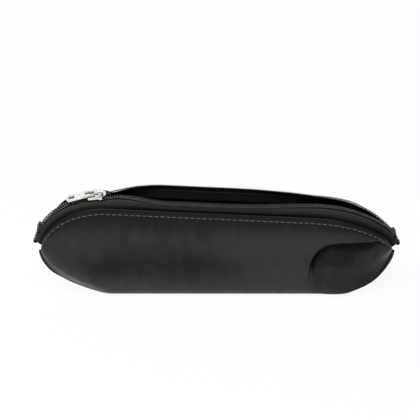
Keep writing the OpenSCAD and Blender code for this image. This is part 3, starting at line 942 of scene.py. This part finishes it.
    def stitches(self) -> Surface:
        """Thread: each stitch is a short tube that dips into the leather at both ends."""
        half = self.outline.half_run(self.outline.tip_angle)
        count = int((2 * half - 5 * self.pitch) / self.pitch / 2)
        centres = np.arange(-count, count + 1) * self.pitch
        share = np.linspace(-1, 1, STITCH_POINTS)
        s = (centres[:, None] + share * (self.stitch / 2 + self.buried)).reshape(-1)
        x, angle = self.outline.stations(s)
        depths, heights = self.outline.controls(x, angle)
        t = 1 - self.inset / (3 * np.hypot(depths[3] - depths[2], heights[3] - heights[2]))
        p = self.outline.at(x, angle, t)
        up = normalised(p - self.outline.at(x, angle, t - 1e-3))
        p[..., 2] += self.outline.lift(self.side, p[..., 0], heights[3] - p[..., 2])
        p[..., 1] += self.outline.sway(self.side, p[..., 0], p[..., 2])
        along = np.gradient(p.reshape(-1, STITCH_POINTS, 3), axis=1).reshape(-1, 3)
        out = normalised(np.cross(up, along))
        out *= np.sign(out[:, 1:2])
        height = self.thread * (self.arch - self.dip * share**4)
        paths = (p + out * np.tile(height, len(centres))[:, None]).reshape(-1, STITCH_POINTS, 3)
        return tubes(paths, self.thread / 2, 10)

    def build(self, palette: Palette) -> None:
        """Make the panel and its stitches, hang them on the shell and hide the CAD nodes that they replace.
        """
        word = self.side.word
        panel = make_mesh(f"{word}_leather", flipped(self.surface(), self.side), palette.panel)
        thread = make_mesh(f"{word}_thread", flipped(self.stitches(), self.side), palette.thread)
        for piece, node, slot in ((panel, "panel", "panel_leather"), (thread, "stitching", "sewing_thread")):
            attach(piece, "shell")
            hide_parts(f"{word}_{node}")


@dataclass
class Piping:
    """The leather-covered cord that is sewn into the lower seam, in mm."""

    outline: Outline
    radius: float = 1.4
    proud: float = 0.3
    core: float = 0.8
    clearance: float = 0.025

    def build(self, palette: Palette) -> None:
        """Sweep a round section along the lower outline, with a cord down its middle.

        The section's middle lies inside the outline on the base and comes just outside it at
        the corners: -(r + clearance) + (r + proud) * ease((1 - fullness) / 0.5).
        """
        half = self.outline.half_run(self.outline.tip_angle)
        s = np.linspace(-half, half, 620)
        x, angle = self.outline.stations(s)
        full = np.cos(angle)
        nx, nz = self.outline.outward(angle)
        low = self.outline.half_height * (1 - full)
        out = -(self.radius + self.clearance) + (self.radius + self.proud) * ease((1 - full) / 0.5)
        pucker = 1 + 0.035 * np.sin(2 * math.pi * s / 3.3) + 0.02 * np.sin(2 * math.pi * s / 11)
        turn = np.linspace(0, 2 * math.pi, 25)[:-1]
        r = self.radius * np.minimum(pucker, 1.0)[:, None]
        across, outwards = r * np.sin(turn), -r * np.cos(turn)
        reach = out[:, None] + outwards
        points = np.stack([x[:, None] + nx[:, None] * reach, across, low[:, None] - nz[:, None] * reach], -1)
        points[..., 1] -= self.outline.lean(points[..., 0], points[..., 2])
        ends = [np.repeat(points[i : i + 1].mean(1, keepdims=True), len(turn), 1) for i in (0, -1)]
        cover = grid_surface(np.concatenate([ends[0], points, ends[1]]), True)
        core = tubes(points[1:-1].mean(1)[None], self.core, 10)
        for surface, name, node, material, slot in (
            (cover, "piping", "piping_cover", palette.piping, "piping_leather"),
            (core, "piping_core", "piping_cord", palette.filler, "filler_cord"),
        ):
            piece = make_mesh(name, surface, material)
            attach(piece, "shell")
            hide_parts(node)


@dataclass
class ZipHalf:
    """One half of the zip: tape and wound coil, bending from shut to open along X."""

    shape: ZipShape
    side: Side
    tooth: float = TOOTH_PITCH
    filament: float = 0.23
    filler_r: float = 0.2
    heel_share: float = 0.15
    squareness: float = 0.75
    tape_points: int = 14
    tape_width: float = 7.6

    def reach(self, zone: int) -> tuple[float, float]:
        """Distances along the outline between which a zone lies."""
        half = self.shape.outline.half_run(self.shape.last_angle)
        ends = [self.shape.outline.distance(x) for x in self.shape.borders()[zone : zone + 2]]
        return max(ends[0], -half), min(ends[1], half)

    def tape(self, zone: int) -> Surface:
        """The tape's closed section: along the fold, the knee and the tip, both faces.

        The section is a quadratic curve from the fold line to the tip, thickened both ways.
        """
        lo, hi = self.reach(zone)
        s = np.linspace(lo, hi, int((hi - lo) / 0.4) + 2)
        x, angle = self.shape.outline.stations(s)
        tip = self.shape.landmarks(angle)[1]
        count = self.tape_points
        u = np.linspace(0, 1, count)[None, :, None]
        line = 2 * u * (1 - u) * (tip * np.array([0.42, 1.05]))[:, None] + u**2 * tip[:, None]
        d = normalised(np.gradient(line, axis=1))
        normal = np.stack([-d[..., 1], d[..., 0]], -1)
        h = self.shape.tape / 2
        loop = np.concatenate([line + normal * h, (line - normal * h)[:, ::-1]], 1)
        across = np.linspace(0, self.tape_width, count)
        values = {
            "u_mm": np.broadcast_to(s[:, None], (len(s), 2 * count)),
            "v_mm": np.concatenate([across, across[::-1]])[None, :],
            "face": np.repeat([1.0, 0.0], count)[None, :],
        }
        return grid_surface(self.shape.place(self.side, x, angle, loop), True, **values)

    def coil_frame(self, angle: Array) -> tuple[Array, Array, Array]:
        """Middle of the coil, and the directions along and out of its bed, at each station."""
        knee, tip = self.shape.landmarks(angle)
        d = normalised(tip - knee)
        n = np.stack([-d[:, 1], d[:, 0]], -1)
        lift = self.shape.tape / 2 + self.shape.bed_gap * 0.4 + self.shape.coil_height / 2
        return tip - d * self.shape.coil_width / 2 + n * lift, d, n

    def coil(self, zone: int) -> Surface:
        """The wound filament.

        Each turn is an ellipse across the coil. The phase runs once round per tooth, and most of
        the step along X is made at the heel, so that the lower strand lies under the upper one.
        """
        half = self.shape.outline.half_run(self.shape.last_angle)
        lo, hi = self.reach(zone)
        turns = (hi - lo) / self.tooth
        phase = 2 * math.pi * lo / self.tooth + np.linspace(0, 2 * math.pi * turns, int(turns * 14))
        s = (phase / (2 * math.pi) - self.heel_share * np.sin(phase)) * self.tooth
        s = s + (0.0 if self.side is Side.FRONT else self.tooth / 2)
        x, angle = self.shape.outline.stations(np.clip(s, -half, half))
        middle, d, n = self.coil_frame(angle)
        a = self.shape.coil_width / 2 - self.filament / 2
        b = self.shape.coil_height / 2 - self.filament
        c = np.sign(np.cos(phase)) * np.abs(np.cos(phase)) ** self.squareness
        section = middle + d * (a * c)[:, None] + n * (b * np.sin(phase))[:, None]
        path = self.shape.place(self.side, x, angle, section[:, None])[:, 0]
        return tubes(path[None], self.filament, 7)

    def filler(self, zone: int) -> Surface:
        """The cord inside the coil: a round tube along the coil's middle."""
        lo, hi = self.reach(zone)
        s = np.linspace(lo, hi, int((hi - lo) / 1.2) + 2)
        x, angle = self.shape.outline.stations(s)
        middle = self.coil_frame(angle)[0]
        path = self.shape.place(self.side, x, angle, middle[:, None])[:, 0]
        return tubes(path[None], self.filler_r, 8)

    def build(self, palette: Palette) -> None:
        """Make tape, coil and filler cord zone by zone, and hide the CAD nodes that they replace."""
        word = self.side.word
        for zone, (shut, opened) in enumerate(self.shape.steps()):
            for kind, node, surface, material, slot in (
                ("tape", "tape", self.tape(zone), palette.tape, "zip_tape"),
                ("coil", "coil", self.coil(zone), palette.coil, "coil_nylon"),
                ("filler", "coil_cord", self.filler(zone), palette.filler, "filler_cord"),
            ):
                piece = make_mesh(f"{word}_{kind}_{zone + 1}", flipped(surface, self.side), material)
                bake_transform(piece)
                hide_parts(f"{word}_{node}")


@dataclass
class Lining:
    """The dark cloth inside one panel, in mm."""

    outline: Outline
    side: Side
    inside: float = 2.0
    tip_run: float = 9.0
    sewn_gap: float = 0.03

    def wrinkles(self, s: Array, t: Array) -> Array:
        """How far the cloth stands off its smooth place, in mm.

        Broad waves along the case that turn over up the side, and fine ones that grow upwards.
        """
        broad = 0.18 * np.sin(s / 6.1)[:, None] * np.sin(t * 9)[None, :]
        fine = 0.12 * np.sin(s / 2.7)[:, None] * ease(t)[None, :]
        return broad + fine

    def build(self, palette: Palette) -> None:
        """A cloth sheet inside the outer surface, from the lower seam to the tape's margin.

        Near each tip it runs in to the other side's lining, which it is sewn to.
        """
        half = self.outline.half_run(self.outline.tip_angle - 1)
        s = np.linspace(-half, half, 280)
        t = np.linspace(0.16, 0.985, 60)
        p, normal = Panel(self.outline, self.side).outer(s, t)
        p = p - normal * (self.inside + self.wrinkles(s, t))[..., None]
        middle = self.outline.sway(self.side, p[..., 0], p[..., 2])
        closed = ease((np.abs(s) - half + self.tip_run) / self.tip_run)[:, None]
        p[..., 1] += (middle + self.sewn_gap - p[..., 1]) * closed
        values = {"u_mm": np.broadcast_to(s[:, None], p.shape[:2]), "v_mm": (t * 60)[None, :]}
        surface = grid_surface(p, **values)
        word = self.side.word
        piece = make_mesh(f"{word}_lining_cloth", flipped(surface, self.side), palette.lining)
        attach(piece, "shell")
        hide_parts(f"{word}_lining")


@dataclass
class Hardware:
    """CAD nodes that keep their shape and take a better material."""

    frame: dict

    def build(self, palette: Palette) -> None:
        """Give every carried-over node its material."""
        groups = (
            (palette.nickel, ("slider_body", "slider_bridge", "pull_tab")),
            (palette.spring, ("lock_spring",)),
            (palette.stop, ("bottom_stop", "front_top_stop", "back_top_stop")),
            (palette.tape, ("left_zip_end", "right_zip_end", "front_tape_margin", "back_tape_margin")),
        )
        for material, nodes in groups:
            for node in nodes:
                piece = self.frame["nodes"][node]
                piece.data.materials.clear()
                piece.data.materials.append(material)
                log.info("%s takes %s", node, material.name)


# ---------------------------------------------------------------- stage


@dataclass(frozen=True)
class Lamp:
    """A rectangular softbox that faces the case: place and size in metres, power in watts."""

    name: str
    place: tuple[float, float, float]
    size: tuple[float, float]
    watts: float


LAMPS = (
    Lamp("key", (-0.25, -0.35, 1.0), (0.9, 0.5), 12),
    Lamp("back", (-0.25, 1.2, 0.72), (1.4, 0.7), 3.3),
)
WHITE = (1.0, 1.0, 1.0, 1.0)


@dataclass
class Stage:
    """Floor, lights and camera, in metres where no unit is named."""

    elevation: float = 30.0
    distance: float = 1.6
    aim_z: float = 0.0275
    lamp_aim_z: float = 0.03
    picture_px: float = 420.0
    mm_per_pixel: float = 0.55
    shift_px: tuple[float, float] = (-6.7, 33.81)
    sensor_mm: float = 36.0
    far: float = 20.0
    sky: float = 0.1
    glow: float = 0.94
    floor_half: float = 40.0
    floor_z: float = -0.0004
    floor_white: float = 0.92
    floor_roughness: float = 0.9

    def camera(self) -> None:
        """A long lens in front of the case and above it."""
        data = bpy.data.cameras.new("camera")
        data.sensor_width = self.sensor_mm
        data.lens = self.sensor_mm * self.distance / (self.picture_px * self.mm_per_pixel * MM)
        data.clip_end = self.far
        data.shift_x = self.shift_px[0] / self.picture_px
        data.shift_y = self.shift_px[1] / self.picture_px
        raised = math.radians(self.elevation)
        back = Vector((0, -math.cos(raised), math.sin(raised)))
        rotation = (-back).to_track_quat("-Z", "Y").to_matrix().to_4x4()
        cam = bpy.data.objects.new("camera", data)
        bpy.context.scene.collection.objects.link(cam)
        cam.matrix_world = Matrix.Translation(Vector((0, 0, self.aim_z)) + back * self.distance) @ rotation
        bpy.context.scene.camera = cam

    def light(self, lamp: Lamp) -> None:
        """Hang one lamp."""
        data = bpy.data.lights.new(lamp.name, "AREA")
        data.shape = "RECTANGLE"
        data.size, data.size_y = lamp.size
        data.energy = lamp.watts
        piece = bpy.data.objects.new(lamp.name, data)
        bpy.context.scene.collection.objects.link(piece)
        piece.location = lamp.place
        towards = Vector((0, 0, self.lamp_aim_z)) - Vector(lamp.place)
        piece.rotation_euler = towards.to_track_quat("-Z", "Y").to_euler()

    def world(self) -> None:
        """An even white sky."""
        world = bpy.data.worlds.new("studio")
        bpy.context.scene.world = world
        world.use_nodes = True
        back = world.node_tree.nodes["Background"]
        back.inputs["Color"].default_value = WHITE
        back.inputs["Strength"].default_value = self.sky

    def floor_material(self) -> bpy.types.Material:
        """White paper that also glows for direct, glossy and transmitted looks, so that it stays white."""
        material = bpy.data.materials.new("white_floor")
        material.use_nodes = True
        nodes, links = material.node_tree.nodes, material.node_tree.links
        shader = nodes["Principled BSDF"]
        shader.inputs["Base Color"].default_value = (*[self.floor_white] * 3, 1.0)
        shader.inputs["Roughness"].default_value = self.floor_roughness
        glow = nodes.new("ShaderNodeEmission")
        glow.inputs["Color"].default_value = WHITE
        path = nodes.new("ShaderNodeLightPath")
        seen = path.outputs["Is Camera Ray"]
        for name in ("Is Glossy Ray", "Is Transmission Ray"):
            either = nodes.new("ShaderNodeMath")
            either.operation = "MAXIMUM"
            links.new(seen, either.inputs[0])
            links.new(path.outputs[name], either.inputs[1])
            seen = either.outputs[0]
        share = nodes.new("ShaderNodeMath")
        share.operation = "MULTIPLY"
        share.inputs[1].default_value = self.glow
        links.new(seen, share.inputs[0])
        mixer = nodes.new("ShaderNodeMixShader")
        links.new(share.outputs[0], mixer.inputs[0])
        links.new(shader.outputs[0], mixer.inputs[1])
        links.new(glow.outputs[0], mixer.inputs[2])
        links.new(mixer.outputs[0], nodes["Material Output"].inputs[0])
        return material

    def floor(self) -> None:
        """A wide square just under the case."""
        r, z = self.floor_half, self.floor_z
        mesh = bpy.data.meshes.new("floor")
        mesh.from_pydata([(-r, -r, z), (r, -r, z), (r, r, z), (-r, r, z)], [], [(0, 1, 2, 3)])
        mesh.materials.append(self.floor_material())
        floor = bpy.data.objects.new("floor", mesh)
        bpy.context.scene.collection.objects.link(floor)

    def build(self) -> None:
        """Make the floor, world, lights and camera."""
        bpy.context.scene.view_settings.view_transform = "Standard"
        self.world()
        self.floor()
        for lamp in LAMPS:
            self.light(lamp)
        self.camera()


def main() -> None:
    """Build the whole scene."""
    logging.basicConfig(level=logging.INFO, format="%(name)s: %(message)s")
    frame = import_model()
    palette = Palette.make()
    outline = Outline()
    shape = ZipShape(outline)
    Hardware(frame).build(palette)
    Piping(outline).build(palette)
    for side in Side:
        Panel(outline, side).build(palette)
        Lining(outline, side).build(palette)
        ZipHalf(shape, side).build(palette)
    Stage().build()
    bpy.context.view_layer.update()


if __name__ == "__main__":
    main()
